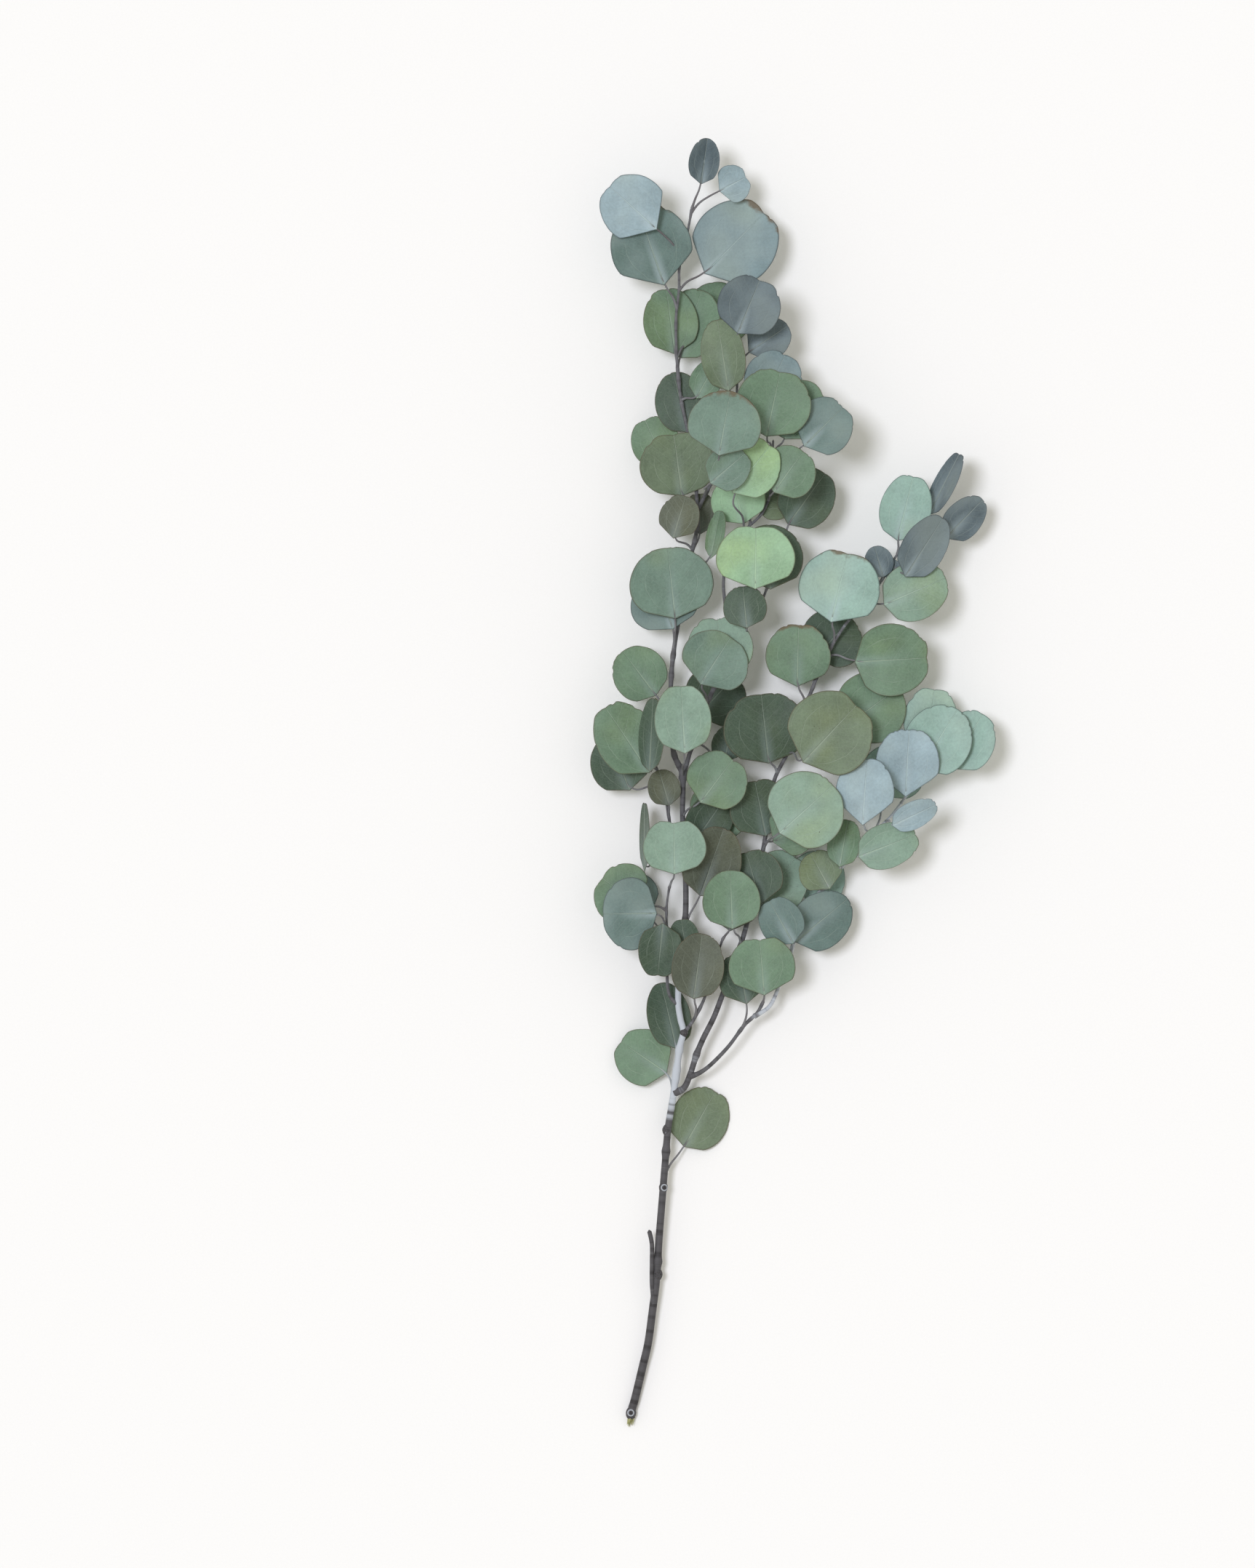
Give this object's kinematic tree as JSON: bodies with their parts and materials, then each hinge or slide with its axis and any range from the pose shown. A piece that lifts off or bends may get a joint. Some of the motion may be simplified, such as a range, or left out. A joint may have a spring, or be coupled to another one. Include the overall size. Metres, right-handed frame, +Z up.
{
  "type": "eucalyptus branch",
  "caption": "Cut branch of round-leaved eucalyptus lying on its side, with leafy side twigs on a forked stem.",
  "frame": {"origin": "middle of the branch's box, on the surface that it lies on", "axes": "+Y from the cut end towards the crown, +X to the right seen from above, +Z up"},
  "size_m": [0.2334, 0.7466, 0.0813],
  "materials": {
    "bark": "matte bark with a pale bloom",
    "leaf": "matte waxy leaf"
  },
  "bodies": {
    "root": {"main_stem": "bark", "right_limb": "bark", "side_limb": "bark", "outer_spray": "leaf", "dark_spray": "leaf", "left_spray": "leaf", "inner_spray": "leaf", "middle_spray": "leaf", "upper_spray": "leaf"}
  },
  "joints": []
}
